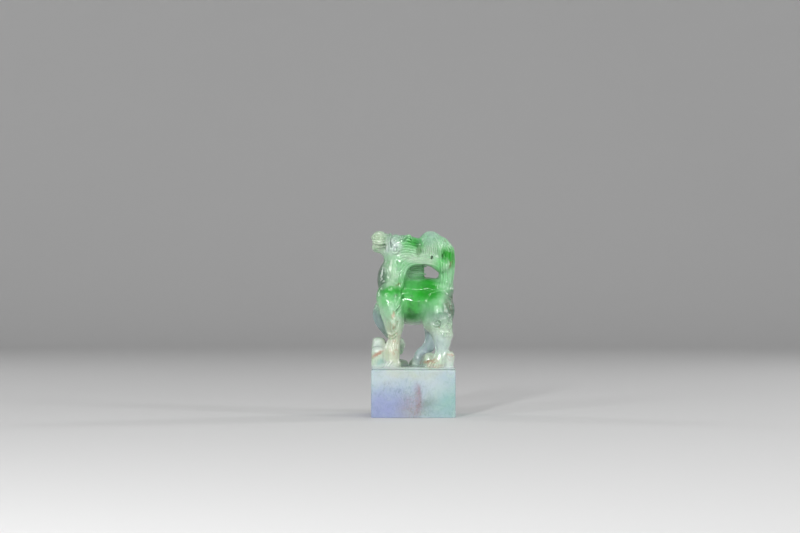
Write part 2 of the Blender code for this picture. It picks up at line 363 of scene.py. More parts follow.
def engrave_nose(graver):
    """Nostrils, the cleft between them and the lips, on the front of the muzzle."""
    front = {"seen": "end", "facing": NEAR, "within": (-14.0, -11.0)}
    for side in (NEAR, FAR):
        nostril = [(side * 1.2, 40.0), (side * 1.5, 40.35), (side * 1.95, 40.5)]
        graver.line(nostril, 0.3, 0.6, blunt=True, **front)
        graver.line([(side * 0.9, 39.8), (side * 1.5, 40.9), (side * 2.4, 40.6)], 0.24, -0.3, **front)
    graver.line([(0.0, 40.4), (0.0, 39.0)], 0.2, 0.3, **front)
    for z, depth in ((39.2, -0.24), (38.85, 0.24), (37.9, -0.24)):
        lip = [(-3.2, z + 0.3), (-1.4, z), (0.0, z - 0.12), (1.4, z), (3.2, z + 0.3)]
        graver.line(lip, 0.18, depth, seen="end", facing=NEAR, within=(-14.0, -10.0))


def engrave_band(graver, side):
    """Hair lines along the band of mane that arches over the pierced gap."""
    for k in range(4):
        out = 0.85 - 0.55 * k
        graver.line(
            [(-3.8 - out, 25.6), (-3.7 - out, 29.4), (-1.9 - 0.6 * out, 32.6 + 0.7 * out), (2.2, 33.7 + out),
             (6.0, 33.4 + out), (8.8, 32.3 + out)],
            HAIR, 0.26, facing=side,
        )


def engrave_tail(graver, side):
    """The fan of hair on the tuft, the long hair of the tail and the hair of the rump."""
    for k in range(9):
        lean = k / 8 - 0.5
        fan = [(5.5 + 1.4 * lean, 42.6), (5.3 + 4.4 * lean, 38.8), (5.1 + 5.2 * lean, 34.7)]
        graver.line(fan, 0.2, 0.42, facing=side)
    for k in range(6):
        x = 7.9 + 0.85 * k
        graver.line(
            [(x, 24.5), (x + 0.5, 29.0), (x + 0.4, 34.5), (x - 0.1, 38.0), (x - 1.6, 40.8)],
            HAIR, 0.26, facing=side,
        )
    for k in range(4):
        rump = [(10.6 + 0.5 * k, 22.8), (11.2 + 0.4 * k, 20.0), (11.2 + 0.45 * k, 16.6)]
        graver.line(rump, HAIR, 0.2, facing=side)


def engrave_tail_end(graver):
    """From behind: the hair of tail and rump."""
    for k in range(9):
        y = -3.0 + 0.75 * k
        graver.line(
            [(0.8 * y, 24.0), (y, 29.0), (y, 35.0), (0.9 * y, 39.8)],
            HAIR, 0.22, seen="end", facing=FAR, within=(7.0, 14.0),
        )
    for k in range(8):
        y = -3.3 + 0.94 * k
        graver.line(
            [(0.4 * y, 23.4), (0.8 * y, 20.4), (1.2 * y, 16.8)],
            HAIR, 0.24, seen="end", facing=FAR, within=(9.0, 14.0),
        )


def engrave_top(graver):
    """From above: wrinkles of the muzzle, the rings behind it, and the hair of mane and tuft."""
    above = {"seen": "top", "facing": FAR}
    for k in range(7):
        y = -1.8 + 0.6 * k
        graver.line([(-12.4, 0.8 * y), (-10.4, y), (-8.9, 1.15 * y)], HAIR, 0.2, within=(40.5, 44), **above)
    for k in range(3):
        x = -8.5 + 0.55 * k
        across = [(x, -4.0), (x - 0.2, -2.0), (x, 0.0), (x - 0.2, 2.0), (x, 4.0)]
        graver.line(across, HAIR, 0.2, within=(39.5, 44), blunt=True, **above)
    for k in range(9):
        y = -3.2 + 0.8 * k
        mane = [(-6.2, 0.8 * y), (-3.4, y), (-0.6, 1.05 * y), (1.9, 0.9 * y)]
        graver.line(mane, HAIR, 0.22, within=(37.5, 44), **above)
    for k in range(7):
        y = -2.7 + 0.9 * k
        tuft = [(2.8, 0.7 * y), (5.5, y), (8.6, y), (11.0, 0.9 * y)]
        graver.line(tuft, HAIR, 0.16, within=(36.5, 44), **above)


def engrave_elbow(graver, cut, rise, side):
    """The fold where a foreleg leaves the body: a cut with a ridge beside it."""
    graver.line([(-3.4, 24.0), (-3.6, 21.6), (-4.2, 19.0), (-5.4, 17.4)], 0.3, cut, facing=side)
    graver.line([(-4.0, 24.4), (-4.2, 21.8), (-4.8, 19.3), (-6.0, 17.8)], 0.24, -rise, facing=side)


def engrave_near_legs(graver):
    """Creases of the near foreleg, and the curl and locks of hair on the near hind leg."""
    engrave_elbow(graver, 0.45, 0.34, NEAR)
    for k in range(3):
        graver.line(
            [(-8.4 + 0.4 * k, 15.6 - 0.6 * k), (-7.6 + 0.25 * k, 12.4), (-6.9 + 0.1 * k, 9.7)], 0.18, 0.2
        )
        graver.line([(-4.4 - 0.3 * k, 15.0 - 0.6 * k), (-5.2 - 0.15 * k, 12.0), (-6.3, 9.7)], 0.18, 0.2)
    graver.line([(-8.1, 10.8), (-6.7, 9.5), (-5.0, 10.8)], 0.22, -0.42)
    graver.line([(-8.2, 11.9), (-6.8, 10.5), (-4.9, 11.9)], 0.2, -0.34)
    for k in range(5):
        graver.line([(-7.9 + 0.8 * k, 9.0), (-7.7 + 0.7 * k, 7.6), (-7.9 + 0.75 * k, 6.2)], HAIR, 0.14)
    graver.curl((7.3, 14.1), 1.8, 1.9, start=200, ridge=(0.22, 0.3), cut=(0.18, 0.26))
    for k in range(4):
        graver.line(
            [(8.2 + 0.6 * k, 12.4 - 0.1 * k), (9.6 + 0.5 * k, 13.2 - 0.2 * k),
             (10.4 + 0.45 * k, 14.6 - 0.1 * k), (10.2 + 0.3 * k, 15.9 - 0.1 * k)],
            0.18, -0.26,
        )
    for k in range(3):
        graver.line([(7.8, 16.2 + 0.5 * k), (9.4, 16.5 + 0.3 * k), (11.4, 15.6 + 0.2 * k)], 0.18, -0.34)
    for k in range(4):
        graver.line([(8.4 + 0.8 * k, 11.6), (9.0 + 0.8 * k, 10.8), (9.1 + 0.7 * k, 9.8)], 0.18, -0.26)
    for k in range(4):
        graver.line([(6.9 + 0.7 * k, 8.4), (7.2 + 0.6 * k, 6.4), (6.8 + 0.6 * k, 4.4)], HAIR, 0.12)


def engrave_far_legs(graver):
    """Plainer creases and one curl on the legs of the hidden side."""
    engrave_elbow(graver, 0.4, 0.3, FAR)
    graver.curl((8.4, 17.0), 1.6, 1.6, start=200, ridge=(0.22, 0.4), cut=(0.18, 0.3), facing=FAR)
    for k in range(3):
        graver.line([(4.6 + 0.7 * k, 9.0), (3.9 + 0.7 * k, 6.6), (2.6 + 0.7 * k, 4.4)], 0.18, 0.2, facing=FAR)


def engrave_toes(graver):
    """The cuts between the toes, from above and from the side, of the three feet on the ground."""
    for x, y, side in ((-8.6, -7.4, NEAR), (4.7, -7.4, NEAR), (-0.3, 7.3, FAR)):
        for across in (-0.75, 0.75):
            graver.line(
                [(x - 1.0, y + across), (x + 0.6, y + across), (x + 1.8, y + 0.8 * across)],
                0.2, 0.35, seen="top", facing=FAR, within=(0.3, 3.4), blunt=True,
            )
        for k in range(3):
            graver.line(
                [(x - 0.8 + 1.1 * k, 0.6), (x - 0.6 + 1.1 * k, 1.6), (x + 1.2 * k, 2.5)],
                0.18, 0.26, facing=side,
            )


def engrave_recess(graver):
    """The hair of the far side, seen through the pierced gap."""
    for k in range(6):
        z = 28.9 + 0.62 * k
        graver.line(
            [(-2.8, z - 0.2), (-0.8, z + 0.2), (1.2, z), (3.4, z + 0.15)],
            0.18, 0.26, within=(-3.5, 1.0), blunt=True,
        )


def engrave(stone):
    graver = Graver(stone)
    for side in (NEAR, FAR):
        engrave_head(graver, side)
        engrave_band(graver, side)
        engrave_tail(graver, side)
    engrave_nose(graver)
    engrave_tail_end(graver)
    engrave_top(graver)
    engrave_near_legs(graver)
    engrave_far_legs(graver)
    engrave_toes(graver)
    engrave_recess(graver)
    graver.finish()


# The stone


def figure_above_groove():
    """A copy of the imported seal, cut off flat inside the ground layer."""
    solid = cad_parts["seal"]
    figure = solid.copy()
    figure.data = solid.data.copy()
    figure.name = "carved_jade"
    bpy.context.scene.collection.objects.link(figure)
    take_up(figure)
    bpy.ops.object.mode_set(mode="EDIT")
    bpy.ops.mesh.select_all(action="SELECT")
    bpy.ops.mesh.remove_doubles(threshold=0.000001)
    bpy.ops.mesh.bisect(
        plane_co=(0, 0, GROUND + (GROUND_THICKNESS - EDGE_ROUND) * PART_HIGH),
        plane_no=(0, 0, 1),
        use_fill=True,
        clear_inner=True,
    )
    bpy.ops.object.mode_set(mode="OBJECT")
    return figure


def fine_figure():
    """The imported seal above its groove, worked finer: facets melted, details added, lines engraved."""
    figure = figure_above_groove()
    finish_with(figure, "REMESH", mode="VOXEL", voxel_size=ROUGH_GRAIN)
    finish_with(figure, "SMOOTH", factor=0.5, iterations=8)
    details = [
        bead((-10.6, 0, 38.3), (2.5, 3.5, 0.6)),  # the tongue
        bead((5.9, 6.9, 7.4), (1.5, 1.7, 2.8), turn=(0, 12, 0)),  # the far hock
    ]
    details += recess_locks()
    for side in (NEAR, FAR):
        details += face_details(side)
        details += band_locks(side)
    figure = fuse([figure] + details)
    finish_with(figure, "REMESH", mode="VOXEL", voxel_size=FINE_GRAIN)
    finish_with(figure, "SMOOTH", factor=0.5, iterations=6)
    engrave(figure)
    finish_with(figure, "SMOOTH", factor=0.35, iterations=1)
    return figure


def fine_block():
    """The crisp block, its groove and the ground layer, drawn up from the seal face level by level."""
    # How far in each level's sides lie, and its height
    levels = [
        (EDGE_ROUND, 0.0),
        (ROUND_MIDDLE * EDGE_ROUND, ROUND_MIDDLE * EDGE_ROUND),
        (0.0, EDGE_ROUND),
        (0.0, BLOCK_HEIGHT - GROOVE_WIDTH / 2),
        (GROOVE_DEPTH, BLOCK_HEIGHT),
        (0.0, BLOCK_HEIGHT + GROOVE_WIDTH / 2),
        (0.0, BLOCK_HEIGHT + GROUND_THICKNESS - EDGE_ROUND),
        (EDGE_ROUND, BLOCK_HEIGHT + GROUND_THICKNESS),
    ]
    nothing_selected()
    inset, height = levels[0]
    bpy.ops.mesh.primitive_plane_add(size=BAR_SIDE - 2 * inset * PART, location=(0, 0, LOW.z))
    block = bpy.context.object
    bpy.ops.object.mode_set(mode="EDIT")
    bpy.ops.mesh.select_all(action="SELECT")
    bpy.ops.mesh.bevel(offset=CORNER_ROUND * PART, segments=5, affect="VERTICES")
    for next_inset, next_height in levels[1:]:
        rise = (next_height - height) * PART
        bpy.ops.mesh.extrude_region_move(TRANSFORM_OT_translate={"value": (0, 0, rise)})
        share = (BAR_SIDE / 2 - next_inset * PART) / (BAR_SIDE / 2 - inset * PART)
        bpy.ops.transform.resize(value=(share, share, 1), center_override=(0, 0, 0))
        inset, height = next_inset, next_height
    bpy.ops.mesh.select_all(action="SELECT")
    bpy.ops.mesh.normals_make_consistent(inside=False)
    bpy.ops.object.mode_set(mode="OBJECT")
    bpy.ops.object.transform_apply(location=True, rotation=True, scale=True)
    return block


def work_in(stone, tool, operation):
    """Adds the tool's solid to the stone or cuts it out, and takes the tool away."""
    finish_with(stone, "BOOLEAN", operation=operation, solver="EXACT", object=tool)
    bpy.data.objects.remove(tool, do_unlink=True)


def drill_pit(stone):
    """The pit drilled into the tuft from the near side."""
    nothing_selected()
    bpy.ops.mesh.primitive_cylinder_add(
        vertices=24,
        radius=PIT_RADIUS * PART,
        depth=PIT_DEPTH * PART,
        location=grid(PIT[0], PIT_MIDDLE, PIT[1]),
        rotation=(math.radians(90), 0, 0),
    )
    work_in(stone, bpy.context.object, "DIFFERENCE")


def carved_jade():
    """The whole stone as one closed skin."""
    figure = fine_figure()
    finish_with(figure, "DECIMATE", ratio=min(1.0, TRIANGLES_KEPT / triangles_in(figure)))
    work_in(figure, fine_block(), "UNION")
    drill_pit(figure)
    take_up(figure)
    bpy.ops.object.shade_smooth_by_angle(angle=math.radians(40))
    print("triangles", triangles_in(figure))
    return figure


# The polish of the stone
JADE_IOR = 1.66
GLOW_WEIGHT = 0.45
GLOW_RADIUS = (0.7, 1.0, 0.7)
GLOW_DEPTH = 1.1 * PART
SEE_THROUGH = 0.25
GLOSSY, WORN = 0.08, 0.18  # roughness
BLOCK_RIPPLE, FIGURE_RIPPLE = 0.1, 0.5

# The colours of the stone, as red, green and blue up to 255

ICE = (208, 228, 206)
DEW = (174, 212, 182)
CREAM = (208, 212, 186)
MILK = (212, 222, 224)
WATER = (150, 216, 160)
APPLE = (76, 200, 88)
EMERALD = (10, 166, 16)
DEEP = (30, 104, 42)
OLIVE = (96, 146, 88)
SMOKE = (124, 148, 142)
MOSS = (78, 112, 88)
SKY = (188, 208, 218)
LAVENDER = (152, 156, 214)
AQUA = (146, 196, 188)
MAUVE = (162, 124, 142)
RUST = (186, 104, 66)
BROWN = (120, 72, 40)
# Painted shadow for the inside of the drilled pit, not a colour of the stone.
PAINTED_PIT_SHADOW = (26, 34, 24)
THROUGH = 18.0  # a half-depth that goes right through the stone

# The stone's ground colour: a shade at each height above the groove, in parts
HEIGHT_SHADES = [(-16, SKY), (-1, SKY), (2, ICE), (10, ICE), (18, DEW), (31, WATER), (38, DEW), (45, DEW)]


def colour(shade):
    """A named shade as the linear colour that a socket takes."""
    shares = [value / 255 for value in shade]
    linear = [share / 12.92 if share <= 0.04045 else ((share + 0.055) / 1.055) ** 2.4 for share in shares]
    return (*linear, 1.0)


def shader_group(name, takes, gives):
    """A new shader group with these sockets, and the nodes at its two ends."""
    group = bpy.data.node_groups.new(name, "ShaderNodeTree")
    for direction, sockets in (("INPUT", takes), ("OUTPUT", gives)):
        for socket, kind in sockets.items():
            group.interface.new_socket(socket, in_out=direction, socket_type="NodeSocket" + kind)
    return group, group.nodes.new("NodeGroupInput").outputs, group.nodes.new("NodeGroupOutput").inputs


def node(tree, kind, takes=None, **settings):
    """Adds a node; each of its inputs takes a link from an output, or a value."""
    made = tree.nodes.new("ShaderNode" + kind)
    for name, value in settings.items():
        setattr(made, name, value)
    for name, value in (takes or {}).items():
        if isinstance(value, bpy.types.NodeSocket):
            tree.links.new(value, made.inputs[name])
        else:
            made.inputs[name].default_value = value
    return made.outputs


def cloud_group():
    """How deep a place lies in an egg-shaped cloud with a soft edge, 0 to 1."""
    group, given, result = shader_group(
        "jade_cloud",
        {"Place": "Vector", "Centre": "Vector", "Half Sizes": "Vector", "Turn": "Float", "Blur": "Float"},
        {"Mask": "Float"},
    )
    away = node(group, "VectorMath", {0: given["Place"], 1: given["Centre"]}, operation="SUBTRACT")[0]
    turned = node(group, "VectorRotate", {"Vector": away, "Angle": given["Turn"]}, rotation_type="Y_AXIS")[0]
    shaped = node(group, "VectorMath", {0: turned, 1: given["Half Sizes"]}, operation="DIVIDE")[0]
    distance = node(group, "VectorMath", {0: shaped}, operation="LENGTH")["Value"]
    inner = node(group, "Math", {0: 1.0, 1: given["Blur"]}, operation="SUBTRACT")[0]
    outer = node(group, "Math", {0: 1.0, 1: given["Blur"]}, operation="ADD")[0]
    mask = node(
        group,
        "MapRange",
        {"Value": distance, "From Min": inner, "From Max": outer, "To Min": 1.0, "To Max": 0.0},
        interpolation_type="SMOOTHSTEP",
    )[0]
    group.links.new(mask, result["Mask"])
    return group


def vein_group():
    """Thin wandering veins, 0 to 1, spaced by Scale in veins a part."""
    group, given, result = shader_group(
        "jade_vein", {"Place": "Vector", "Scale": "Float", "Width": "Float"}, {"Mask": "Float"}
    )
    noise = node(group, "TexNoise", {"Vector": given["Place"], "Scale": given["Scale"], "Detail": 3.0})[0]
    off = node(group, "Math", {0: noise, 1: 0.5}, operation="SUBTRACT")[0]
    off = node(group, "Math", {0: off}, operation="ABSOLUTE")[0]
    mask = node(
        group,
        "MapRange",
        {"Value": off, "From Min": 0.0, "From Max": given["Width"], "To Min": 1.0, "To Max": 0.0},
    )[0]
    group.links.new(mask, result["Mask"])
    return group


class JadeColours:
    """Lays clouds, veins and specks of colour one over the other."""

    def __init__(self, tree, place, vein_place):
        self.tree, self.place, self.vein_place = tree, place, vein_place
        self.cloud_shape, self.vein_shape = cloud_group(), vein_group()
        self.shade = None

    def lay(self, shade, factor):
        """The shade over what is there, as strong as factor."""
        self.shade = node(
            self.tree, "Mix", {0: factor, 6: self.shade, 7: colour(shade)}, data_type="RGBA"
        )[2]

    def group_node(self, shape, **takes):
        made = self.tree.nodes.new("ShaderNodeGroup")
        made.node_tree = shape
        for name, value in takes.items():
            socket = made.inputs[name.replace("_", " ")]
            if isinstance(value, bpy.types.NodeSocket):
                self.tree.links.new(value, socket)
            else:
                socket.default_value = value
        return made.outputs[0]

    def times(self, a, b):
        return node(self.tree, "Math", {0: a, 1: b}, operation="MULTIPLY")[0]

    def fog(self, scale, low, high, strength):
        """Uneven patches of noise, as strong as strength."""
        return self.times(noise_mask(self.tree, self.vein_place, scale, low, high), strength)

    def region(self, at, size, turn=0.0, blur=0.5, back=0.0, deep=THROUGH):
        """The mask of a cloud at (x, z) with half-sizes (x, z), turned by degrees in the side view.

        Its middle lies back from the seal's middle, or in front where back is negative, and deep is its
        half-depth.
        """
        return self.group_node(
            self.cloud_shape,
            Place=self.place,
            Centre=(at[0], back, at[1]),
            Half_Sizes=(size[0], deep, size[1]),
            Turn=math.radians(turn),
            Blur=blur,
        )

    def cloud(self, shade, strength, at, size, **shape):
        """A soft cloud of one shade."""
        self.lay(shade, self.times(self.region(at, size, **shape), strength))

    def fog_cloud(self, shade, at, size, fog):
        """A cloud with patches of fog in it; fog is (scale, low, high, strength)."""
        self.lay(shade, self.times(self.region(at, size, blur=0.4), self.fog(*fog)))

    def veins(self, shade, strength, at, size, scale=0.5, width=0.03, **shape):
        """Thin veins within a cloud-shaped region."""
        lines = self.group_node(self.vein_shape, Place=self.vein_place, Scale=scale, Width=width)
        self.lay(shade, self.times(self.times(lines, self.region(at, size, **shape)), strength))


def heights_ramp(tree, height, stops):
    """A shade for each height in parts above the groove."""
    low, high = stops[0][0], stops[-1][0]
    share = node(tree, "MapRange", {"Value": height, "From Min": low, "From Max": high})[0]
    made = tree.nodes.new("ShaderNodeValToRGB")
    ramp = made.color_ramp
    ramp.interpolation = "EASE"
    for _ in stops[2:]:
        ramp.elements.new(0.5)
    for element, (at, shade) in zip(ramp.elements, stops):
        element.position = (at - low) / (high - low)
        element.color = colour(shade)
    tree.links.new(share, made.inputs[0])
    return made.outputs[0]


def drifting(tree, place, scale, reach, detail=3.0):
    """The place pushed about by noise, up to reach parts."""
    noise = node(tree, "TexNoise", {"Vector": place, "Scale": scale, "Detail": detail})["Color"]
    centred = node(tree, "VectorMath", {0: noise, 1: (0.5, 0.5, 0.5)}, operation="SUBTRACT")[0]
    pushed = node(tree, "VectorMath", {0: centred, "Scale": reach * 2}, operation="SCALE")[0]
    return node(tree, "VectorMath", {0: place, 1: pushed}, operation="ADD")[0]


def noise_mask(tree, place, scale, low, high, detail=4.0):
    """Soft patches of noise: 0 below low, 1 above high."""
    noise = node(tree, "TexNoise", {"Vector": place, "Scale": scale, "Detail": detail})[0]
    return node(tree, "MapRange", {"Value": noise, "From Min": low, "From Max": high})[0]


def paint_block(jade):
    """Lavender at the left, sea green at the right, pink veins between, milk along the top, and painted light
    along the groove.
    """
    jade.cloud(LAVENDER, 0.85, (-9.2, -12.0), (8.0, 6.0), blur=0.7)
    jade.cloud(LAVENDER, 0.3, (-3.0, -7.0), (6.0, 4.0), blur=0.9)
    jade.cloud(MILK, 0.7, (-8.0, -2.6), (6.5, 2.6), blur=0.8)
    jade.cloud(AQUA, 0.85, (10.5, -9.5), (5.0, 6.4), turn=12, blur=0.7)
    jade.cloud(MILK, 0.75, (6.0, -4.2), (5.2, 2.8), turn=-15, blur=0.8)
    jade.cloud(MILK, 0.5, (5.6, -8.0), (2.6, 2.0), blur=0.9)
    jade.cloud(CREAM, 0.5, (-1.4, -1.4), (7.0, 1.4), blur=0.8)
    jade.cloud(CREAM, 0.4, (7.0, -0.8), (3.0, 1.2), turn=20, blur=0.8)
    jade.cloud(SMOKE, 0.8, (4.2, -10.3), (2.8, 1.5), turn=10, blur=0.9)
    jade.cloud(SMOKE, 0.3, (3.0, -12.6), (4.0, 1.6), blur=0.9)
    jade.cloud(MAUVE, 0.42, (-1.0, -11.6), (3.6, 5.0), turn=-25, blur=0.9)
    jade.cloud(MAUVE, 0.6, (1.4, -6.2), (0.8, 2.4), turn=10, blur=0.9)
    jade.cloud(MAUVE, 0.55, (1.3, -10.8), (0.9, 3.8), turn=-4, blur=0.9)
    jade.cloud(RUST, 0.25, (1.5, -6.4), (0.3, 1.6), turn=8, blur=0.9)
    jade.veins(RUST, 0.4, (0.4, -11.4), (3.0, 3.6), scale=1.3, width=0.06, blur=0.7)
    jade.veins(SMOKE, 0.45, (-1.5, -9.0), (8.0, 6.0), scale=1.1, width=0.05, blur=0.6)
    # Painted light: a pale line along the groove that lightens its shade and stands in for the highlight on
    # its edges.
    jade.cloud(MILK, 0.6, (0.0, 0.1), (16.0, 0.5), blur=0.8)


def paint_feet_and_rocks(jade):
    """Cream in the near foreleg, smoke and sky in the far legs, and milk in the rocks."""
    jade.cloud(CREAM, 0.75, (-6.0, 6.0), (3.4, 8.0), blur=0.6, back=-6, deep=9)
    jade.cloud(MILK, 0.6, (-8.4, 1.4), (3.6, 1.4), blur=0.8)
    jade.cloud(SMOKE, 0.5, (-10.6, 13.0), (3.2, 7.0), blur=0.5, back=7.0, deep=6.0)
    jade.cloud(SKY, 0.8, (3.6, 7.0), (3.8, 7.0), blur=0.5, back=7.5, deep=5.0)
    jade.cloud(SKY, 0.6, (8.0, 8.0), (3.4, 3.6), blur=0.6, back=-7, deep=7)
    jade.cloud(SMOKE, 0.9, (-11.6, 13.6), (3.6, 5.6), blur=0.5, back=7.0, deep=6.0)
    jade.cloud(SKY, 0.3, (-12.0, 14.0), (3.0, 4.0), blur=0.6, back=7.0, deep=6.0)
    jade.cloud(MILK, 0.6, (-10.8, 7.0), (2.4, 2.0), blur=0.8)
    jade.cloud(MILK, 0.6, (11.6, 2.6), (2.2, 3.0), blur=0.8)
    jade.cloud(AQUA, 0.7, (-10.4, 2.2), (1.4, 0.9), blur=0.8)


def paint_body(jade):
    """The strong green through shoulder, back and belly, paler water and smoke round it, and painted shade
    under the belly.
    """
    jade.cloud(APPLE, 0.85, (1.8, 22.4), (7.8, 6.8), blur=0.45)
    jade.cloud(EMERALD, 0.55, (1.4, 25.0), (7.2, 3.8), blur=0.5)
    jade.cloud(EMERALD, 0.8, (-0.4, 18.4), (3.4, 3.2), blur=0.7)
    jade.fog_cloud(DEEP, (2.2, 23.4), (6.5, 5.0), fog=(0.5, 0.5, 0.72, 0.7))
    jade.fog_cloud(WATER, (0.6, 19.6), (7.0, 3.6), fog=(0.6, 0.54, 0.72, 0.6))
    jade.cloud(EMERALD, 1.0, (4.4, 24.4), (3.8, 3.2), blur=0.6)
    jade.cloud(DEEP, 0.35, (4.9, 24.0), (1.7, 1.6), blur=0.8)
    # Painted shade: darker green on the underside of the belly.
    jade.cloud(DEEP, 0.65, (-0.3, 16.4), (2.0, 1.3), turn=-20, blur=0.7)
    jade.cloud(DEEP, 0.8, (-0.9, 18.4), (1.4, 0.8), turn=-40, blur=0.8)
    jade.cloud(WATER, 0.45, (5.4, 18.6), (2.4, 1.4), blur=0.8)
    jade.cloud(EMERALD, 0.95, (-7.0, 24.2), (4.2, 1.7), turn=-4, blur=0.5)
    jade.cloud(APPLE, 0.7, (-7.8, 21.8), (3.8, 2.8), blur=0.7)
    jade.cloud(WATER, 0.6, (-6.6, 17.8), (3.2, 2.4), blur=0.8)
    jade.cloud(OLIVE, 0.3, (-6.2, 13.4), (2.8, 3.6), blur=0.8)
    jade.cloud(MOSS, 0.95, (-10.8, 29.0), (3.0, 5.0), blur=0.6)
    jade.cloud(ICE, 0.5, (-6.4, 29.6), (1.6, 3.6), turn=8, blur=0.8)
    jade.cloud(WATER, 0.7, (9.8, 26.6), (2.8, 4.0), blur=0.8)
    jade.cloud(SMOKE, 0.7, (7.6, 17.4), (4.8, 3.6), blur=0.8)
    jade.cloud(WATER, 0.8, (7.0, 20.2), (3.2, 2.4), blur=0.8)
    jade.cloud(APPLE, 0.4, (6.6, 19.6), (3.0, 2.2), blur=0.8)
    jade.cloud(MOSS, 0.9, (12.2, 19.8), (2.2, 5.6), blur=0.7)
    jade.veins(BROWN, 0.35, (11.6, 19.6), (1.6, 3.6), scale=0.7, width=0.06, blur=0.6)
    jade.cloud(EMERALD, 1.0, (4.7, 24.3), (3.0, 3.2), blur=0.6)
    jade.cloud(DEEP, 0.3, (4.7, 24.3), (1.4, 1.6), blur=0.9)


def paint_head_and_tail(jade):
    """The recess lightened with painted light, a pale band, the cheek pale with some painted highlight, the
    tuft, and green behind the brow and at the tail's edge.
    """
    # Painted light: the recess under the band takes water green, laid strong and lightened with dew where the
    # band's shade falls.
    jade.cloud(WATER, 0.95, (0.6, 30.2), (3.8, 2.4), blur=0.5)
    jade.cloud(DEW, 0.4, (0.4, 30.4), (3.6, 2.2), blur=0.6)
    jade.cloud(WATER, 0.25, (0.6, 26.0), (4.0, 1.6), blur=0.8)
    jade.cloud(ICE, 0.6, (1.4, 34.0), (6.6, 1.4), turn=-14, blur=0.7)
    jade.cloud(APPLE, 0.65, (-0.2, 39.4), (4.2, 3.0), blur=0.7)
    jade.cloud(EMERALD, 0.8, (0.7, 39.2), (2.3, 1.3), blur=0.7)
    # Partly the stone's pale cheek, partly a painted highlight for the glints on the cheek curl.
    jade.cloud(MILK, 0.7, (-6.4, 38.0), (2.4, 2.0), blur=0.8)
    jade.cloud(ICE, 0.5, (5.4, 37.0), (3.2, 2.4), blur=0.8)
    jade.cloud(SMOKE, 0.5, (-4.4, 41.2), (2.8, 1.4), blur=0.8)
    jade.cloud(DEEP, 0.6, (1.3, 38.9), (1.0, 0.7), blur=0.8)
    jade.cloud(OLIVE, 0.7, (1.8, 36.6), (0.8, 1.8), blur=0.6)
    jade.cloud(AQUA, 0.25, (5.4, 41.0), (4.0, 2.6), blur=0.8)
    jade.cloud(WATER, 0.6, (10.0, 39.0), (3.4, 3.0), blur=0.8)
    jade.cloud(EMERALD, 1.0, (11.4, 34.9), (3.0, 2.3), turn=-30, blur=0.7)
    jade.cloud(APPLE, 0.6, (8.2, 32.4), (1.6, 1.8), blur=0.8)
    jade.cloud(CREAM, 0.4, (-11.0, 40.0), (2.6, 3.4), blur=0.6)


def paint_rust_and_pit_shadow(jade):
    """Rust-coloured streaks, veins and spots, and the shadow in the drilled pit."""
    jade.cloud(RUST, 0.8, (-10.9, 4.6), (2.3, 0.5), turn=27, blur=0.7)
    jade.cloud(RUST, 0.8, (-5.9, 16.5), (0.6, 1.3), turn=-12, blur=0.8, back=-8, deep=5)
    jade.cloud(BROWN, 0.6, (-4.6, 26.3), (1.0, 0.4), turn=30, blur=0.8)
    jade.cloud(BROWN, 0.55, (11.7, 32.6), (0.5, 1.0), turn=-25, blur=0.8)
    for x, z in ((-5.1, 22.4), (-3.2, 22.2)):
        jade.cloud(DEEP, 0.7, (x, z), (0.4, 0.35), blur=0.8)
    for x, z in ((-5.9, 13.1), (8.1, 13.1), (9.8, 39.7), (5.6, 2.9)):
        jade.cloud(BROWN, 0.7, (x, z), (0.26, 0.3), blur=0.8)
    jade.veins(RUST, 0.5, (-6.0, 9.5), (1.8, 7.5), scale=0.45, width=0.035, blur=0.5)
    jade.veins(RUST, 0.45, (5.6, 2.2), (3.0, 1.8), scale=0.8, width=0.06, blur=0.7)
    jade.veins(RUST, 0.4, (11.6, 4.4), (1.6, 2.6), scale=0.8, width=0.06, blur=0.7)
    jade.veins(BROWN, 0.3, (-7.8, -5.2), (1.6, 1.4), scale=1.4, width=0.07, blur=0.6)
    jade.cloud(RUST, 0.6, (5.4, 2.3), (2.0, 0.5), turn=12, blur=0.8)
    jade.cloud(RUST, 0.4, (8.0, 1.2), (1.8, 0.4), blur=0.8)
    jade.cloud(RUST, 0.5, (11.4, 4.7), (1.1, 0.5), turn=-20, blur=0.8)
    # Painted shadow: a dark cloud inside the drilled pit.
    jade.cloud(PAINTED_PIT_SHADOW, 0.85, PIT, (0.4, 0.4), blur=0.3, back=PIT_MIDDLE, deep=3.4)


def jade_colour(group, place):
    """The colour of the stone at a place on the grid."""
    drifted = drifting(group, drifting(group, place, 0.22, 1.7), 1.1, 0.5)
    stretched = node(group, "Mapping", {"Vector": drifted, "Scale": (1.0, 0.5, 0.42)})[0]
    jade = JadeColours(group, drifted, stretched)
    height = node(group, "SeparateXYZ", {0: drifted})["Z"]
    jade.shade = heights_ramp(group, height, HEIGHT_SHADES)
    # Milky and darker clouds lie under the strong colours, and a fine dark grain and specks over them
    jade.lay(ICE, jade.times(noise_mask(group, drifted, 0.42, 0.5, 0.72), 0.45))
    jade.lay(SMOKE, jade.times(noise_mask(group, drifted, 0.7, 0.52, 0.75), 0.4))
    jade.lay(ICE, jade.times(noise_mask(group, stretched, 2.6, 0.52, 0.7), 0.25))
    jade.lay(OLIVE, jade.times(noise_mask(group, stretched, 1.7, 0.55, 0.75), 0.3))
    paint_block(jade)
    paint_feet_and_rocks(jade)
    paint_body(jade)
    paint_head_and_tail(jade)
    paint_rust_and_pit_shadow(jade)
    jade.lay(DEEP, jade.times(noise_mask(group, stretched, 3.1, 0.56, 0.75), 0.12))
    specks = node(group, "TexVoronoi", {"Vector": drifted, "Scale": 0.55})["Distance"]
    specks = node(
        group,
        "MapRange",
        {"Value": specks, "From Min": 0.05, "From Max": 0.12, "To Min": 1.0, "To Max": 0.0},
    )[0]
    jade.lay(BROWN, jade.times(jade.times(specks, noise_mask(group, place, 0.12, 0.5, 0.6)), 0.55))
    return jade.shade


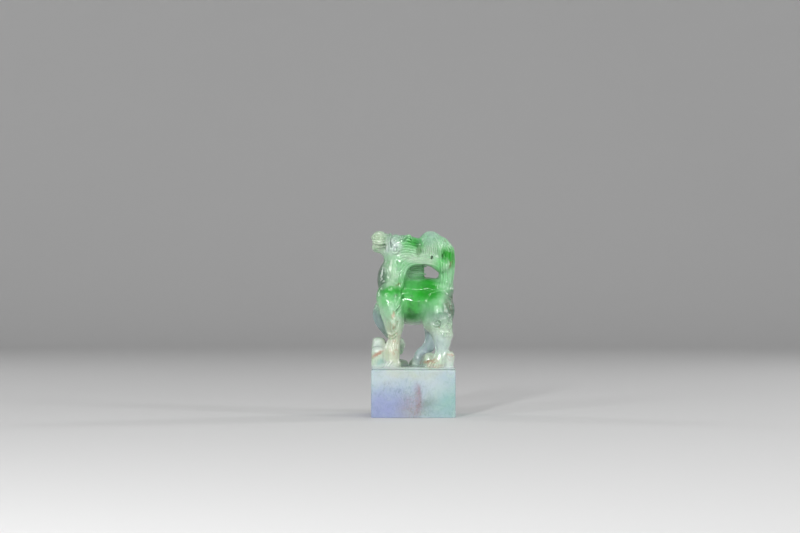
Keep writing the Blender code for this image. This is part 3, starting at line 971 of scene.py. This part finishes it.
def hand_worked_normal(group, place):
    """Faint facets and ripples from polishing: strong on the figure, weak on the ground-flat block."""
    height = node(group, "SeparateXYZ", {0: place})["Z"]
    ripple = {"To Min": BLOCK_RIPPLE, "To Max": FIGURE_RIPPLE}
    strength = node(group, "MapRange", {"Value": height, **ripple})[0]
    facets = node(group, "TexNoise", {"Vector": place, "Scale": 0.5, "Detail": 1.0})[0]
    normal = node(group, "Bump", {"Height": facets, "Strength": strength, "Distance": 0.5 * PART})[0]
    ripples = node(group, "TexNoise", {"Vector": place, "Scale": 1.6, "Detail": 3.0})[0]
    return node(
        group, "Bump", {"Height": ripples, "Strength": strength, "Distance": 0.14 * PART, "Normal": normal}
    )[0]


def jade_surface_group():
    """Colour, roughness and normal of the stone, from a place in metres."""
    group, given, result = shader_group(
        "jade_surface", {"Place": "Vector"}, {"Colour": "Color", "Roughness": "Float", "Normal": "Vector"}
    )
    scale = 1.0 / PART
    place = node(
        group,
        "Mapping",
        {"Vector": given["Place"], "Location": (0, 0, -GROUND * scale), "Scale": (scale,) * 3},
    )[0]
    group.links.new(jade_colour(group, place), result["Colour"])
    worn = noise_mask(group, place, 0.6, 0.3, 0.7)
    roughness = node(group, "MapRange", {"Value": worn, "To Min": GLOSSY, "To Max": WORN})[0]
    group.links.new(roughness, result["Roughness"])
    group.links.new(hand_worked_normal(group, place), result["Normal"])
    return group


def new_material(name):
    """A material with nothing but its shader, joined to its output."""
    material = bpy.data.materials.new(name)
    material.use_nodes = True
    tree = material.node_tree
    tree.nodes.clear()
    shader = tree.nodes.new("ShaderNodeBsdfPrincipled")
    tree.links.new(shader.outputs[0], tree.nodes.new("ShaderNodeOutputMaterial").inputs[0])
    return material, tree, shader.inputs


def polished_jade():
    material, tree, shader = new_material("polished_jade")
    surface = tree.nodes.new("ShaderNodeGroup")
    surface.node_tree = jade_surface_group()
    place = node(tree, "TexCoord")["Object"]
    tree.links.new(place, surface.inputs["Place"])
    tree.links.new(surface.outputs["Colour"], shader["Base Color"])
    tree.links.new(surface.outputs["Roughness"], shader["Roughness"])
    tree.links.new(surface.outputs["Normal"], shader["Normal"])
    shader["IOR"].default_value = JADE_IOR
    shader["Subsurface Weight"].default_value = GLOW_WEIGHT
    shader["Subsurface Radius"].default_value = GLOW_RADIUS
    shader["Subsurface Scale"].default_value = GLOW_DEPTH
    shader["Transmission Weight"].default_value = SEE_THROUGH
    return material


# The studio, in metres and watts

FLOOR_RADIUS = 0.9
FLOOR_BEND = 0.3
FLOOR_STEPS = 8
WALL_HEIGHT = 0.5
FLOOR_GREY = 0.62
FLOOR_ROUGHNESS = 0.7
AIR_STRENGTH = 0.4

# Each soft box: its name, place, size and power
LIGHTS = [
    ("left_box", (-0.42, -0.52, 0.26), (0.07, 0.3), 0.9),
    ("right_box", (0.55, -0.34, 0.24), (0.08, 0.36), 1.1),
    ("front_strip", (-0.16, -0.62, 0.24), (0.03, 0.1), 2.0),
    ("top_box", (0.1, -0.3, 0.56), (0.25, 0.06), 0.5),
    ("front_fill", (0.12, -0.8, 0.12), (0.2, 0.2), 0.6),
    ("left_rim", (-0.6, 0.3, 0.3), (0.1, 0.35), 0.8),
    ("right_rim", (0.62, 0.28, 0.3), (0.1, 0.35), 1.3),
]


def studio_floor():
    """A pale round floor that curves up into its wall all round."""
    nothing_selected()
    radius, height = FLOOR_RADIUS, 0.0
    bpy.ops.mesh.primitive_circle_add(vertices=96, radius=radius, fill_type="NGON", location=(0, 0, LOW.z))
    floor = bpy.context.object
    floor.name = "floor"
    bpy.ops.object.mode_set(mode="EDIT")
    bpy.ops.mesh.select_mode(type="EDGE")
    bpy.ops.mesh.select_all(action="SELECT")
    for k in range(1, FLOOR_STEPS + 1):
        bend = math.radians(90 * k / FLOOR_STEPS)
        next_radius = FLOOR_RADIUS + FLOOR_BEND * math.sin(bend)
        next_height = FLOOR_BEND * (1 - math.cos(bend))
        bpy.ops.mesh.extrude_edges_move(TRANSFORM_OT_translate={"value": (0, 0, next_height - height)})
        share = next_radius / radius
        bpy.ops.transform.resize(value=(share, share, 1), center_override=(0, 0, 0))
        radius, height = next_radius, next_height
    bpy.ops.mesh.extrude_edges_move(TRANSFORM_OT_translate={"value": (0, 0, WALL_HEIGHT)})
    bpy.ops.object.mode_set(mode="OBJECT")
    bpy.ops.object.shade_smooth()
    material, _, shader = new_material("pale_floor")
    shader["Base Color"].default_value = (FLOOR_GREY, FLOOR_GREY, FLOOR_GREY, 1)
    shader["Roughness"].default_value = FLOOR_ROUGHNESS
    floor.data.materials.append(material)
    return floor


def soft_light(name, place, size, watts):
    """A soft box that faces the seal."""
    nothing_selected()
    bpy.ops.object.light_add(type="AREA", location=place)
    light = bpy.context.object
    light.name = name
    light.data.shape = "RECTANGLE"
    light.data.size, light.data.size_y = size
    light.data.energy = watts
    light.visible_camera = False
    light.rotation_euler = (CAMERA_AIM - Vector(place)).to_track_quat("-Z", "Y").to_euler()


def studio():
    studio_floor()
    for name, place, size, watts in LIGHTS:
        soft_light(name, place, size, watts)
    world = bpy.data.worlds.new("studio_air")
    world.use_nodes = True
    world.node_tree.nodes["Background"].inputs["Color"].default_value = (1.0, 1.0, 1.0, 1)
    world.node_tree.nodes["Background"].inputs["Strength"].default_value = AIR_STRENGTH
    bpy.context.scene.world = world
    bpy.context.scene.view_settings.view_transform = "Standard"


def main_camera():
    nothing_selected()
    place = Vector((CAMERA_AIM.x, -CAMERA_DISTANCE, CAMERA_HEIGHT))
    bpy.ops.object.camera_add(location=place)
    camera = bpy.context.object
    camera.name = "main_camera"
    camera.rotation_euler = (CAMERA_AIM - place).to_track_quat("-Z", "Y").to_euler()
    camera.data.lens = CAMERA_LENS
    camera.data.clip_start = 0.01
    bpy.context.scene.camera = camera


def main():
    stone = carved_jade()
    stone.data.materials.clear()
    stone.data.materials.append(polished_jade())
    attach(stone, "root")
    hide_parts("seal")
    studio()
    main_camera()


main()

bpy.context.view_layer.update()
